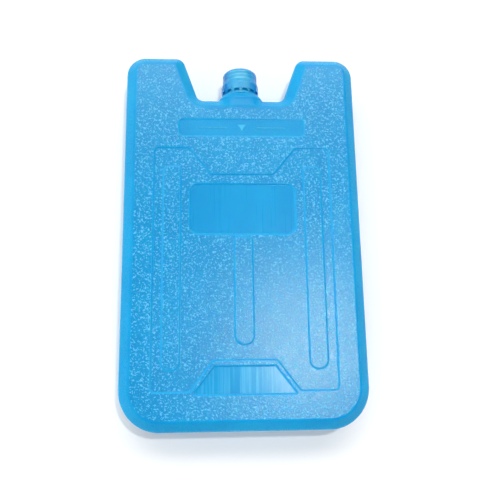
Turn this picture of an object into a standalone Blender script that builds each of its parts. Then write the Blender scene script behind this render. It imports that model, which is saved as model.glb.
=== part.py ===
"""Refillable ice pack: a flat blow moulded bottle with a screw cap on its neck.

The pack lies on its back, front face up. X runs across it, Y runs from its foot towards its
neck, and Z runs out of the front face. The origin is under the middle of the outline, on the
plane that the back rests on. The bottle is one hollow moulding whose wall follows its relief
inside and out, and it opens only through the neck. The cap turns and rises on a right-hand
thread, and leaves behind the tamper ring that was moulded with it.
"""

import math

import bpy
from mathutils import Matrix, Vector
from mathutils.geometry import delaunay_2d_cdt

MM = 0.001

# Outline of the bottle, at the mould seam
BODY_WIDTH = 150.0 * MM
BODY_LENGTH = 238.2 * MM
BODY_THICKNESS = 30.0 * MM
WALL = 1.5 * MM
FOOT_CORNER_RADIUS = 25.0 * MM
EAR_OUTER_RADIUS = 12.5 * MM
EAR_INNER_RADIUS = 6.5 * MM
NOTCH_CORNER_RADIUS = 5.0 * MM
NOTCH_DEPTH = 29.9 * MM
NOTCH_MOUTH_WIDTH = 76.4 * MM
NOTCH_FLOOR_WIDTH = 55.4 * MM

# Rim, from the mould seam round to the flat faces
SEAM_PROUD = 0.25 * MM
SEAM_HALF_WIDTH = 0.5 * MM
RIM_RUN = 6.3 * MM
RIM_DEPTH = 5.6 * MM
RIM_SHOULDER_RADIUS = 4.0 * MM
RIM_EDGE_RADIUS = 3.0 * MM

# Framed field that is sunk into both faces, between borders and with a waist at each end
FIELD_SIDE_BORDER = 19.6 * MM
FIELD_TOP_BORDER = 35.0 * MM
FIELD_FOOT_BORDER = 23.4 * MM
FIELD_TOP_FLAP_WIDTH = 21.4 * MM
FIELD_TOP_FLAP_HEIGHT = 17.6 * MM
FIELD_TOP_SLOPE_RUN = 14.4 * MM
FIELD_FOOT_FLAP_WIDTH = 22.9 * MM
FIELD_FOOT_FLAP_HEIGHT = 17.9 * MM
FIELD_FOOT_SLOPE_RUN = 13.5 * MM
FIELD_CORNER_RADIUS = 3.0 * MM
FIELD_DEPTH = 0.8 * MM

# Stiffening ribs that stand in the field
SIDE_RIB_WIDTH = 10.9 * MM
SIDE_RIB_SIDE_GAP = 5.85 * MM
SIDE_RIB_END_GAP = 12.3 * MM
SIDE_RIB_TOP_RADIUS = 3.5 * MM
SIDE_RIB_FOOT_RADIUS = 5.0 * MM
CENTRE_RIB_WIDTH = 11.3 * MM
CENTRE_RIB_TOP_GAP = 1.7 * MM
CENTRE_RIB_FOOT_GAP = 8.9 * MM
CENTRE_RIB_TOP_RADIUS = 2.5 * MM
CENTRE_RIB_FOOT_RADIUS = 5.3 * MM
RIB_RISE = 0.55 * MM

# Label panel, sunk into the front field between the side ribs
PANEL_SIDE_GAP = 5.75 * MM
PANEL_TOP_GAP = 6.2 * MM
PANEL_HEIGHT = 32.2 * MM
PANEL_CORNER_RADIUS = 5.5 * MM
PANEL_DEPTH = 0.9 * MM

# Plain band of the filling mark and the smooth trapezoid, both sunk into the front face
BAND_SIDE_BORDER = 34.8 * MM
BAND_TOP_BORDER = 15.6 * MM
BAND_HEIGHT = 11.4 * MM
BAND_CORNER_RADIUS = 2.5 * MM
BAND_DEPTH = 0.55 * MM
TRAPEZOID_TOP_GAP = 3.4 * MM
TRAPEZOID_SIDE_GAP = 0.8 * MM
TRAPEZOID_HEIGHT = 16.3 * MM
TRAPEZOID_SLOPE_RUN = 12.8 * MM
TRAPEZOID_CORNER_RADIUS = 0.8 * MM
TRAPEZOID_DEPTH = 0.8 * MM

# Length over which a step of the relief rises
STEP_RUN = 0.65 * MM
PANEL_STEP_RUN = 0.9 * MM

# Squarish shoulder that grows softly out of the rim and carries the neck above the notch's floor
SHOULDER_WIDTH = 30.6 * MM
SHOULDER_SET_BACK = 0.4 * MM
SHOULDER_RISE = 4.35 * MM
SHOULDER_FLANK = 3.3 * MM
SHOULDER_ROOT = 9.0 * MM
SHOULDER_BEND_RADIUS = 2.5 * MM
SHOULDER_BLEND = 5.0 * MM
SHOULDER_SQUARENESS = 2.6
LEDGE_WIDTH = 25.8 * MM
LEDGE_EDGE_RADIUS = 2.0 * MM

# Neck and its thread
NECK_RADIUS = 9.0 * MM
NECK_WALL = 1.7 * MM
NECK_FOOT_RADIUS = 9.8 * MM
NECK_CHAMFER = 0.4 * MM
BEAD_PROUD = 1.1 * MM
BEAD_LAND = 0.8 * MM
BEAD_RAMP = 1.4 * MM
THREAD_LEAD = 2.5 * MM
THREAD_DEPTH = 1.1 * MM
THREAD_ROOT_WIDTH = 1.1 * MM
THREAD_CREST_WIDTH = 0.5 * MM
THREAD_FADE_TURNS = 0.25
NECK_THREAD_TURNS = 2.5
NECK_THREAD_BELOW_RIM = 1.4 * MM
CAP_THREAD_TURNS = 2.0

# Cap, its wad and its tamper ring
CAP_HEIGHT = 16.2 * MM
CAP_WALL = 1.05 * MM
CAP_TOP_THICKNESS = 1.3 * MM
CAP_EDGE_RADIUS = 3.0 * MM
SKIRT_HEIGHT = 5.7 * MM
SKIRT_FLARE_HEIGHT = 2.9 * MM
SKIRT_STEP_HEIGHT = 0.6 * MM
SKIRT_WALL = 1.2 * MM
WAD_THICKNESS = 1.2 * MM
SLIT_HEIGHT = 1.2 * MM
BRIDGE_COUNT = 14
BRIDGE_TOP_WIDTH = 2.0 * MM
BRIDGE_FOOT_WIDTH = 0.8 * MM
BRIDGE_THICKNESS = 0.7 * MM
RING_HEIGHT = 1.3 * MM
RING_WALL = 1.15 * MM
RING_LIP_HEIGHT = 0.6 * MM

# Clearances
SEAT_GAP = 0.3 * MM
THREAD_GAP = 0.35 * MM
BEAD_GAP = 0.3 * MM
RING_PLAY = 0.4 * MM

# Fineness of the facets
ROUND_SEGMENTS = 48
FOOT_ARC_STEPS = 10
ARC_STEPS = 6
SMALL_ARC_STEPS = 4
EDGE_STEPS = 3
BLEND_STEPS = 7
SMALLEST_RADIUS = 0.2 * MM
SHARP_ANGLE = math.radians(25)

# How far a thread ridge or a bridge reaches into the wall that it is united with
OVERLAP = 0.3 * MM

# A step's slope reads as this much steeper, so that points on its edges count as fully up or down
STEP_SNAP = 1.05

# Places that follow from the sizes
MID_Z = BODY_THICKNESS / 2
HALF_WIDTH = BODY_WIDTH / 2
HALF_LENGTH = BODY_LENGTH / 2
NOTCH_FLOOR = HALF_LENGTH - NOTCH_DEPTH
FIELD_HALF_WIDTH = HALF_WIDTH - FIELD_SIDE_BORDER
FIELD_TOP = NOTCH_FLOOR - FIELD_TOP_BORDER
FIELD_FOOT = FIELD_FOOT_BORDER - HALF_LENGTH
FIELD_TOP_STEP_X = FIELD_HALF_WIDTH - FIELD_TOP_FLAP_WIDTH
FIELD_TOP_WAIST_X = FIELD_TOP_STEP_X - FIELD_TOP_SLOPE_RUN
FIELD_TOP_WAIST = FIELD_TOP - FIELD_TOP_FLAP_HEIGHT
FIELD_FOOT_STEP_X = FIELD_HALF_WIDTH - FIELD_FOOT_FLAP_WIDTH
FIELD_FOOT_WAIST_X = FIELD_FOOT_STEP_X - FIELD_FOOT_SLOPE_RUN
FIELD_FOOT_WAIST = FIELD_FOOT + FIELD_FOOT_FLAP_HEIGHT
SIDE_RIB_X = FIELD_HALF_WIDTH - SIDE_RIB_SIDE_GAP - SIDE_RIB_WIDTH / 2
SIDE_RIB_TOP = FIELD_TOP - SIDE_RIB_END_GAP
SIDE_RIB_FOOT = FIELD_FOOT + SIDE_RIB_END_GAP
PANEL_HALF_WIDTH = SIDE_RIB_X - SIDE_RIB_WIDTH / 2 - PANEL_SIDE_GAP
PANEL_TOP = FIELD_TOP_WAIST - PANEL_TOP_GAP
PANEL_FOOT = PANEL_TOP - PANEL_HEIGHT
CENTRE_RIB_TOP = PANEL_FOOT - CENTRE_RIB_TOP_GAP
CENTRE_RIB_FOOT = FIELD_FOOT_WAIST + CENTRE_RIB_FOOT_GAP
BAND_HALF_WIDTH = HALF_WIDTH - BAND_SIDE_BORDER
BAND_TOP = NOTCH_FLOOR - BAND_TOP_BORDER
BAND_FOOT = BAND_TOP - BAND_HEIGHT
TRAPEZOID_TOP = FIELD_FOOT_WAIST - TRAPEZOID_TOP_GAP
TRAPEZOID_FOOT = TRAPEZOID_TOP - TRAPEZOID_HEIGHT
TRAPEZOID_TOP_X = FIELD_FOOT_WAIST_X - TRAPEZOID_SIDE_GAP
TRAPEZOID_FOOT_X = TRAPEZOID_TOP_X + TRAPEZOID_SLOPE_RUN
LEDGE = NOTCH_FLOOR + SHOULDER_RISE
RING_FOOT = LEDGE + SEAT_GAP
RING_TOP = RING_FOOT + RING_HEIGHT
CAP_FOOT = RING_TOP + SLIT_HEIGHT
CAP_TOP = CAP_FOOT + CAP_HEIGHT
CAP_UNDERSIDE = CAP_TOP - CAP_TOP_THICKNESS
WAD_TOP = CAP_UNDERSIDE - SEAT_GAP
WAD_FOOT = WAD_TOP - WAD_THICKNESS
NECK_RIM = WAD_FOOT - SEAT_GAP
BEAD_FOOT = RING_TOP + SEAT_GAP
BEAD_RADIUS = NECK_FOOT_RADIUS + BEAD_PROUD
NECK_BORE_RADIUS = NECK_RADIUS - NECK_WALL
THREAD_RADIUS = NECK_RADIUS + THREAD_DEPTH
CAP_BORE_RADIUS = THREAD_RADIUS + THREAD_GAP
CAP_THREAD_RADIUS = NECK_RADIUS + THREAD_GAP
CAP_RADIUS = CAP_BORE_RADIUS + CAP_WALL
SKIRT_BORE_RADIUS = BEAD_RADIUS + BEAD_GAP
SKIRT_RADIUS = SKIRT_BORE_RADIUS + SKIRT_WALL
RING_LIP_RADIUS = NECK_FOOT_RADIUS + RING_PLAY
NECK_THREAD_TOP = NECK_RIM - NECK_THREAD_BELOW_RIM
NECK_THREAD_FOOT = NECK_THREAD_TOP - NECK_THREAD_TURNS * THREAD_LEAD
CAP_THREAD_FOOT = NECK_THREAD_FOOT + THREAD_LEAD / 2


def clear_scene():
    for old in list(bpy.data.objects):
        bpy.data.objects.remove(old, do_unlink=True)


def plastic(name, colour, roughness):
    material = bpy.data.materials.new(name)
    material.use_nodes = True
    shader = material.node_tree.nodes["Principled BSDF"]
    shader.inputs["Base Color"].default_value = (*colour, 1.0)
    shader.inputs["Roughness"].default_value = roughness
    shader.inputs["Metallic"].default_value = 0.0
    return material


def add_object(name, points, faces, material=None, parent=None):
    """A mesh object with its faces turned outwards and its round faces shaded smooth."""
    mesh = bpy.data.meshes.new(name)
    mesh.from_pydata([tuple(point) for point in points], [], faces)
    mesh.update()
    mesh.shade_smooth()
    mesh.set_sharp_from_angle(angle=SHARP_ANGLE)
    if material is not None:
        mesh.materials.append(material)
    thing = bpy.data.objects.new(name, mesh)
    bpy.context.scene.collection.objects.link(thing)
    thing.parent = parent
    return thing


def tool(thing):
    """Marks a solid as one that only shapes another one."""
    thing.hide_render = True
    thing.display_type = "WIRE"
    return thing


def combine(target, shape, operation):
    """Adds shape to the target, or cuts it out of the target."""
    step = target.modifiers.new(shape.name, "BOOLEAN")
    step.operation = operation
    step.solver = "EXACT"
    step.object = tool(shape)


# Flat paths


def left_of(direction):
    return Vector((-direction.y, direction.x))


def shifted_corner(before, corner, after, shift):
    """The corner of a path whose two sides have both moved to the left by shift."""
    side_in = left_of((corner - before).normalized())
    side_out = left_of((after - corner).normalized())
    return corner + (side_in + side_out) * (shift / (1.0 + side_in.dot(side_out)))


def corner_arc(before, corner, after, radius, steps):
    """Points of the fillet that rounds one corner of a path; no steps leave the corner alone."""
    if steps == 0:
        return [corner]
    into = (corner - before).normalized()
    out = (after - corner).normalized()
    turn = math.atan2(into.x * out.y - into.y * out.x, into.dot(out))
    start = corner - into * (radius * math.tan(abs(turn) / 2))
    centre = start + left_of(into) * math.copysign(radius, turn)
    spoke = start - centre
    arc = []
    for number in range(steps + 1):
        arc.append(centre + Matrix.Rotation(turn * number / steps, 2) @ spoke)
    return arc


def turns_left(before, corner, after):
    into = corner - before
    out = after - corner
    return into.x * out.y - into.y * out.x > 0


def outline(corners, shift=0.0):
    """A closed anticlockwise outline with rounded corners, moved inwards by shift.

    Each corner is (x, y, radius, steps). Its fillet keeps its centre as the outline moves.
    """
    places = [Vector((x, y)) for x, y, _, _ in corners]
    count = len(corners)
    moved = []
    for number, place in enumerate(places):
        moved.append(shifted_corner(places[number - 1], place, places[(number + 1) % count], shift))
    points = []
    for number, (_, _, radius, steps) in enumerate(corners):
        before = moved[number - 1]
        after = moved[(number + 1) % count]
        if turns_left(before, moved[number], after):
            radius = max(radius - shift, SMALLEST_RADIUS)
        else:
            radius = max(radius + shift, SMALLEST_RADIUS)
        points += corner_arc(before, moved[number], after, radius, steps)
    return points


def mirrored(corners):
    """The whole outline from its right half, which runs from foot to top."""
    left_half = [(-x, y, radius, steps) for x, y, radius, steps in reversed(corners)]
    return corners + left_half


def box_corners(half_width, foot, top, foot_radius, top_radius, centre_x=0.0):
    right = centre_x + half_width
    left = centre_x - half_width
    return [
        (right, foot, foot_radius, ARC_STEPS),
        (right, top, top_radius, ARC_STEPS),
        (left, top, top_radius, ARC_STEPS),
        (left, foot, foot_radius, ARC_STEPS),
    ]


def rounded_profile(corners, steps):
    """Points of an open profile whose corners are (radius from axis, height, fillet)."""
    places = [Vector((radius, height)) for radius, height, _ in corners]
    points = []
    for number, (_, _, fillet) in enumerate(corners):
        if fillet == 0.0:
            points.append(places[number])
        else:
            points += corner_arc(places[number - 1], places[number], places[number + 1], fillet, steps)
    return [(point.x, point.y) for point in points]


def distance_inside(point, ring):
    """Distance from a point to a closed ring, positive inside it."""
    nearest = math.inf
    inside = False
    for number, end in enumerate(ring):
        start = ring[number - 1]
        along = end - start
        part = max(0.0, min(1.0, (point - start).dot(along) / along.length_squared))
        nearest = min(nearest, (point - start - along * part).length)
        if (start.y > point.y) != (end.y > point.y):
            crossing = start.x + (point.y - start.y) / along.y * along.x
            if point.x < crossing:
                inside = not inside
    return nearest if inside else -nearest


# Relief of the two faces


class Step:
    """One raised or sunk area of a face: its outline, its rise and the run of its wall."""

    def __init__(self, corners, rise, run=STEP_RUN):
        self.corners = corners
        self.rise = rise
        self.run = run

    def wall_shift(self, depth):
        """How far the outline moves inwards on a surface that lies depth below the face."""
        slope = math.atan2(abs(self.rise), self.run)
        return math.copysign(depth * math.tan(slope / 2), self.rise)

    def rings(self, depth):
        middle = self.wall_shift(depth)
        return [outline(self.corners, middle - self.run / 2), outline(self.corners, middle + self.run / 2)]

    def height(self, point, middle_ring):
        share = 0.5 + STEP_SNAP * distance_inside(point, middle_ring) / self.run
        return self.rise * max(0.0, min(1.0, share))


def field_corners():
    radius = FIELD_CORNER_RADIUS
    return mirrored([
        (FIELD_FOOT_WAIST_X, FIELD_FOOT_WAIST, radius, SMALL_ARC_STEPS),
        (FIELD_FOOT_STEP_X, FIELD_FOOT, radius, SMALL_ARC_STEPS),
        (FIELD_HALF_WIDTH, FIELD_FOOT, radius, SMALL_ARC_STEPS),
        (FIELD_HALF_WIDTH, FIELD_TOP, radius, SMALL_ARC_STEPS),
        (FIELD_TOP_STEP_X, FIELD_TOP, radius, SMALL_ARC_STEPS),
        (FIELD_TOP_WAIST_X, FIELD_TOP_WAIST, radius, SMALL_ARC_STEPS),
    ])


def rib_steps():
    steps = []
    for side in (-1, 1):
        corners = box_corners(SIDE_RIB_WIDTH / 2, SIDE_RIB_FOOT, SIDE_RIB_TOP,
                              SIDE_RIB_FOOT_RADIUS, SIDE_RIB_TOP_RADIUS, side * SIDE_RIB_X)
        steps.append(Step(corners, RIB_RISE))
    corners = box_corners(CENTRE_RIB_WIDTH / 2, CENTRE_RIB_FOOT, CENTRE_RIB_TOP,
                          CENTRE_RIB_FOOT_RADIUS, CENTRE_RIB_TOP_RADIUS)
    steps.append(Step(corners, RIB_RISE))
    return steps


def front_relief():
    panel = box_corners(PANEL_HALF_WIDTH, PANEL_FOOT, PANEL_TOP, PANEL_CORNER_RADIUS, PANEL_CORNER_RADIUS)
    band = box_corners(BAND_HALF_WIDTH, BAND_FOOT, BAND_TOP, BAND_CORNER_RADIUS, BAND_CORNER_RADIUS)
    trapezoid = mirrored([
        (TRAPEZOID_FOOT_X, TRAPEZOID_FOOT, TRAPEZOID_CORNER_RADIUS, EDGE_STEPS),
        (TRAPEZOID_TOP_X, TRAPEZOID_TOP, TRAPEZOID_CORNER_RADIUS, EDGE_STEPS),
    ])
    return [
        Step(field_corners(), -FIELD_DEPTH),
        Step(panel, -PANEL_DEPTH, PANEL_STEP_RUN),
        Step(band, -BAND_DEPTH),
        Step(trapezoid, -TRAPEZOID_DEPTH),
    ] + rib_steps()


def back_relief():
    return [Step(field_corners(), -FIELD_DEPTH)] + rib_steps()


# Body of the bottle


def body_corners():
    """The outline's corners, with extra points on the notch's floor where the shoulder grows out."""
    corners = [
        (HALF_WIDTH, -HALF_LENGTH, FOOT_CORNER_RADIUS, FOOT_ARC_STEPS),
        (HALF_WIDTH, HALF_LENGTH, EAR_OUTER_RADIUS, ARC_STEPS),
        (NOTCH_MOUTH_WIDTH / 2, HALF_LENGTH, EAR_INNER_RADIUS, ARC_STEPS),
        (NOTCH_FLOOR_WIDTH / 2, NOTCH_FLOOR, NOTCH_CORNER_RADIUS, SMALL_ARC_STEPS),
    ]
    for number in range(BLEND_STEPS):
        angle = math.pi / 2 * (number + 0.5) / BLEND_STEPS
        corners.append((SHOULDER_WIDTH / 2 * math.cos(angle), NOTCH_FLOOR, 0.0, 0))
    return mirrored(corners)


def swollen(point, over_mid):
    """Height of a point of the rim over the seam, once the shoulder has grown softly out of it."""
    across = abs(point.x) / (SHOULDER_WIDTH / 2)
    if across > 1.0 or point.y < 0.0 or over_mid == 0.0:
        return over_mid
    top = BODY_THICKNESS / 2 - SHOULDER_SET_BACK
    shoulder = top * (1.0 - across ** SHOULDER_SQUARENESS) ** (1.0 / SHOULDER_SQUARENESS)
    closeness = max(0.0, 1.0 - abs(over_mid - shoulder) / SHOULDER_BLEND)
    return min(MID_Z, max(over_mid, shoulder) + SHOULDER_BLEND / 4 * closeness ** 2)


def rim_profile(depth):
    """Points (inset, height over the seam) of the rim on a surface depth below the skin."""
    side = Vector((SEAM_PROUD, 0.0))
    shoulder = Vector((SEAM_PROUD, MID_Z - RIM_DEPTH))
    edge = Vector((SEAM_PROUD + RIM_RUN, MID_Z))
    face = Vector((SEAM_PROUD + 2 * RIM_RUN, MID_Z))
    low = side + Vector((depth, 0.0))
    high = face - Vector((0.0, depth))
    bend = shifted_corner(side, shoulder, edge, -depth)
    brow = shifted_corner(shoulder, edge, face, -depth)
    shoulder_radius = max(RIM_SHOULDER_RADIUS - depth, SMALLEST_RADIUS)
    edge_radius = max(RIM_EDGE_RADIUS - depth, SMALLEST_RADIUS)
    rise = corner_arc(low, bend, brow, shoulder_radius, EDGE_STEPS)
    return rise + corner_arc(bend, brow, high, edge_radius, EDGE_STEPS)


def add_face(points, faces, first, ring, level, relief, depth, up):
    """Closes one end of the body with a face that carries its relief."""
    flat = [Vector((point.x, point.y)) for point in ring]
    edges = [(number, (number + 1) % len(flat)) for number in range(len(flat))]
    middles = []
    for step in relief:
        middles.append(outline(step.corners, step.wall_shift(depth)))
        for loop in step.rings(depth):
            start = len(flat)
            edges += [(start + number, start + (number + 1) % len(loop)) for number in range(len(loop))]
            flat += loop
    spots, _, triangles, sources, _, _ = delaunay_2d_cdt(flat, edges, [], 1, 1e-9)
    index = []
    for spot, source in zip(spots, sources):
        on_ring = [number for number in source if number < len(ring)]
        if on_ring:
            index.append(first + on_ring[0])
            continue
        rise = sum(step.height(spot, middle) for step, middle in zip(relief, middles))
        index.append(len(points))
        points.append(Vector((spot.x, spot.y, level + up * rise)))
    for triangle in triangles:
        corners = [index[number] for number in triangle]
        faces.append(corners if up > 0 else corners[::-1])


def moulded_body(name, depth, with_seam, material=None):
    """The body's closed surface, depth below its skin: the skin itself, or its cavity."""
    profile = rim_profile(depth)
    levels = [(inset, MID_Z + height) for inset, height in reversed(profile)]
    if with_seam:
        levels.append((SEAM_PROUD, MID_Z + SEAM_HALF_WIDTH))
        levels.append((0.0, MID_Z))
        levels.append((SEAM_PROUD, MID_Z - SEAM_HALF_WIDTH))
    levels += [(inset, MID_Z - height) for inset, height in profile]
    corners = body_corners()
    points = []
    faces = []
    rings = []
    for inset, level in levels:
        side = 1.0 if level > MID_Z else -1.0
        ring = []
        for point in outline(corners, inset):
            over_mid = abs(level - MID_Z)
            if with_seam:
                over_mid = swollen(point, over_mid)
            ring.append(Vector((point.x, point.y, MID_Z + side * over_mid)))
        rings.append(ring)
        points += ring
    count = len(rings[0])
    for row in range(len(rings) - 1):
        for column in range(count):
            after = (column + 1) % count
            upper = row * count
            lower = upper + count
            faces.append([upper + column, lower + column, lower + after, upper + after])
    top = BODY_THICKNESS - depth
    add_face(points, faces, 0, rings[0], top, front_relief(), depth, 1)
    add_face(points, faces, count * (len(rings) - 1), rings[-1], depth, back_relief(), depth, -1)
    return add_object(name, points, faces, material)


# Turned, lofted and threaded shapes, all about a local Z that becomes the neck's axis


def loft(name, rings, material=None, parent=None, closed_loop=False):
    """Joins rings of equal length; a loop of rings makes a ring shaped solid."""
    count = len(rings[0])
    points = [point for ring in rings for point in ring]
    faces = []
    last = len(rings) if closed_loop else len(rings) - 1
    for row in range(last):
        lower = row * count
        upper = ((row + 1) % len(rings)) * count
        for column in range(count):
            after = (column + 1) % count
            faces.append([lower + column, lower + after, upper + after, upper + column])
    if not closed_loop:
        faces.append(list(range(count))[::-1])
        faces.append([(len(rings) - 1) * count + number for number in range(count)])
    return add_object(name, points, faces, material, parent)


def circle(radius, height):
    ring = []
    for number in range(ROUND_SEGMENTS):
        angle = 2 * math.pi * number / ROUND_SEGMENTS
        ring.append(Vector((radius * math.cos(angle), radius * math.sin(angle), height)))
    return ring


def turned(name, profile, material=None, parent=None, closed_loop=False):
    """A turned solid; its profile of (radius, height) runs up the outer side."""
    rings = [circle(radius, height) for radius, height in profile]
    return loft(name, rings, material, parent, closed_loop)


def squarish(half_width, half_height, height):
    """A ring between a rectangle and an ellipse."""
    power = 2.0 / SHOULDER_SQUARENESS
    ring = []
    for number in range(ROUND_SEGMENTS):
        angle = 2 * math.pi * (number + 0.5) / ROUND_SEGMENTS
        across = math.copysign(abs(math.cos(angle)) ** power, math.cos(angle))
        up = math.copysign(abs(math.sin(angle)) ** power, math.sin(angle))
        ring.append(Vector((half_width * across, half_height * up, height)))
    return ring


def thread(name, root_radius, crest_radius, foot, turns, parent):
    """A right-hand thread ridge that fades out at both ends."""
    steps = round(turns * ROUND_SEGMENTS)
    fade = THREAD_FADE_TURNS * ROUND_SEGMENTS
    outward = math.copysign(1.0, crest_radius - root_radius)
    buried = root_radius - outward * OVERLAP
    rings = []
    for number in range(steps + 1):
        angle = 2 * math.pi * number / ROUND_SEGMENTS
        middle = foot + THREAD_LEAD * number / ROUND_SEGMENTS
        share = min(1.0, (number + 1) / fade, (steps - number + 1) / fade)
        crest = root_radius + (crest_radius - root_radius) * share
        ring = []
        for radius, half in ((buried, -THREAD_ROOT_WIDTH / 2), (crest, -THREAD_CREST_WIDTH / 2),
                             (crest, THREAD_CREST_WIDTH / 2), (buried, THREAD_ROOT_WIDTH / 2)):
            ring.append(Vector((radius * math.cos(angle), radius * math.sin(angle), middle + half)))
        rings.append(ring[::-1] if outward > 0 else ring)
    return loft(name, rings, parent=parent)


def shoulder_form(axis):
    """The shoulder's outer form, with a soft bend in its flanks and a rolled edge round its ledge."""
    half_height = BODY_THICKNESS / 2 - SHOULDER_SET_BACK
    ledge_inset = (SHOULDER_WIDTH - LEDGE_WIDTH) / 2
    lean = (half_height - LEDGE_WIDTH / 2) / ledge_inset
    profile = rounded_profile([
        (0.0, NOTCH_FLOOR - SHOULDER_ROOT, 0.0),
        (0.0, LEDGE - SHOULDER_FLANK, SHOULDER_BEND_RADIUS),
        (ledge_inset, LEDGE, LEDGE_EDGE_RADIUS),
        (LEDGE_WIDTH / 2, LEDGE, 0.0),
    ], EDGE_STEPS)
    rings = []
    for inset, height in profile[:-1]:
        rings.append(squarish(SHOULDER_WIDTH / 2 - inset, half_height - inset * lean, height))
    return loft("shoulder_form", rings, parent=axis)


def shoulder_cavity(axis):
    half_width = SHOULDER_WIDTH / 2 - WALL
    half_height = BODY_THICKNESS / 2 - SHOULDER_SET_BACK - WALL
    ledge_half = LEDGE_WIDTH / 2 - WALL
    return loft("shoulder_cavity", [
        squarish(half_width, half_height, NOTCH_FLOOR - SHOULDER_ROOT),
        squarish(half_width, half_height, LEDGE - SHOULDER_FLANK),
        squarish(ledge_half, ledge_half, LEDGE - WALL),
    ], parent=axis)


def build_bottle(axis, material):
    bottle = moulded_body("bottle", 0.0, True, material)
    combine(bottle, shoulder_form(axis), "UNION")
    neck = turned("neck_form", [
        (NECK_FOOT_RADIUS, LEDGE - WALL / 2),
        (NECK_FOOT_RADIUS, BEAD_FOOT),
        (BEAD_RADIUS, BEAD_FOOT),
        (BEAD_RADIUS, BEAD_FOOT + BEAD_LAND),
        (NECK_RADIUS, BEAD_FOOT + BEAD_LAND + BEAD_RAMP),
        (NECK_RADIUS, NECK_RIM - NECK_CHAMFER),
        (NECK_RADIUS - NECK_CHAMFER, NECK_RIM),
    ], parent=axis)
    combine(bottle, neck, "UNION")
    ridge = thread("neck_thread", NECK_RADIUS, THREAD_RADIUS, NECK_THREAD_FOOT, NECK_THREAD_TURNS, axis)
    combine(bottle, ridge, "UNION")
    combine(bottle, moulded_body("cavity_form", WALL, False), "DIFFERENCE")
    combine(bottle, shoulder_cavity(axis), "DIFFERENCE")
    bore = turned("bore_form", [
        (NECK_BORE_RADIUS, LEDGE - SHOULDER_FLANK),
        (NECK_BORE_RADIUS, CAP_TOP),
    ], parent=axis)
    combine(bottle, bore, "DIFFERENCE")
    return bottle


def build_cap(axis, material):
    flare_foot = CAP_FOOT + SKIRT_HEIGHT
    flare_top = flare_foot + SKIRT_FLARE_HEIGHT
    inner_fillet = max(CAP_EDGE_RADIUS - CAP_WALL, SMALLEST_RADIUS)
    seat_radius = NECK_RADIUS / 2
    outside = [
        (SKIRT_RADIUS, CAP_FOOT, 0.0),
        (SKIRT_RADIUS, flare_foot, 0.0),
        (CAP_RADIUS, flare_top, 0.0),
        (CAP_RADIUS, CAP_TOP, CAP_EDGE_RADIUS),
        (seat_radius, CAP_TOP, 0.0),
    ]
    inside = [
        (seat_radius, CAP_UNDERSIDE, 0.0),
        (CAP_BORE_RADIUS, CAP_UNDERSIDE, inner_fillet),
        (CAP_BORE_RADIUS, flare_foot + SKIRT_STEP_HEIGHT, 0.0),
        (SKIRT_BORE_RADIUS, flare_foot, 0.0),
        (SKIRT_BORE_RADIUS, CAP_FOOT, 0.0),
    ]
    cap = cap_shell("screw_cap", rounded_profile(outside, ARC_STEPS), rounded_profile(inside, SMALL_ARC_STEPS),
                    material, axis)
    ridge = thread("cap_thread", CAP_BORE_RADIUS, CAP_THREAD_RADIUS, CAP_THREAD_FOOT, CAP_THREAD_TURNS, axis)
    combine(cap, ridge, "UNION")
    for number in range(BRIDGE_COUNT):
        combine(cap, bridge(number, axis), "UNION")
    return cap


def cap_shell(name, outside, inside, material, parent):
    """The cap without its thread: two turned skins joined at the skirt's foot."""
    rings = [circle(radius, height) for radius, height in outside + inside]
    count = ROUND_SEGMENTS
    points = [point for ring in rings for point in ring]
    faces = []
    top = len(outside) - 1
    for row in range(len(rings)):
        if row == top:
            continue
        lower = row * count
        upper = ((row + 1) % len(rings)) * count
        for column in range(count):
            after = (column + 1) % count
            faces.append([lower + column, lower + after, upper + after, upper + column])
    faces.append([top * count + number for number in range(count)])
    faces.append([(top + 1) * count + number for number in range(count)][::-1])
    return add_object(name, points, faces, material, parent)


def bridge(number, axis):
    """One of the tapered bridges that held the tamper ring to the skirt."""
    angle = 2 * math.pi * (number + 0.5) / BRIDGE_COUNT
    middle = (SKIRT_BORE_RADIUS + SKIRT_RADIUS) / 2
    rings = []
    for width, height in ((BRIDGE_FOOT_WIDTH, RING_TOP + SEAT_GAP), (BRIDGE_TOP_WIDTH, CAP_FOOT + OVERLAP)):
        ring = []
        for across, out in ((-1, -1), (-1, 1), (1, 1), (1, -1)):
            radial = middle + out * BRIDGE_THICKNESS / 2
            point = Vector((radial, across * width / 2, height))
            ring.append(Matrix.Rotation(angle, 3, "Z") @ point)
        rings.append(ring)
    return loft("bridge_%02d" % (number + 1), rings, parent=axis)


def build_ring(axis, material):
    inner = SKIRT_RADIUS - RING_WALL
    return turned("tamper_ring", [
        (inner, RING_FOOT),
        (SKIRT_RADIUS, RING_FOOT),
        (SKIRT_RADIUS, RING_TOP),
        (RING_LIP_RADIUS, RING_TOP),
        (RING_LIP_RADIUS, RING_TOP - RING_LIP_HEIGHT),
    ], material, axis, closed_loop=True)


def build_wad(axis, material):
    return turned("sealing_wad", [
        (NECK_RADIUS, WAD_FOOT),
        (NECK_RADIUS, WAD_TOP),
    ], material, axis)


def main():
    clear_scene()
    axis = bpy.data.objects.new("neck_axis", None)
    bpy.context.scene.collection.objects.link(axis)
    axis.location = (0.0, 0.0, MID_Z)
    axis.rotation_euler = (-math.pi / 2, 0.0, 0.0)
    bottle_blue = plastic("translucent_blue", (0.02, 0.36, 0.78), 0.34)
    cap_blue = plastic("cap_blue", (0.015, 0.27, 0.72), 0.28)
    foam = plastic("white_foam", (0.86, 0.88, 0.88), 0.8)
    build_bottle(axis, bottle_blue)
    build_cap(axis, cap_blue)
    build_ring(axis, cap_blue)
    build_wad(axis, foam)
    bpy.context.view_layer.update()


main()
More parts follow.
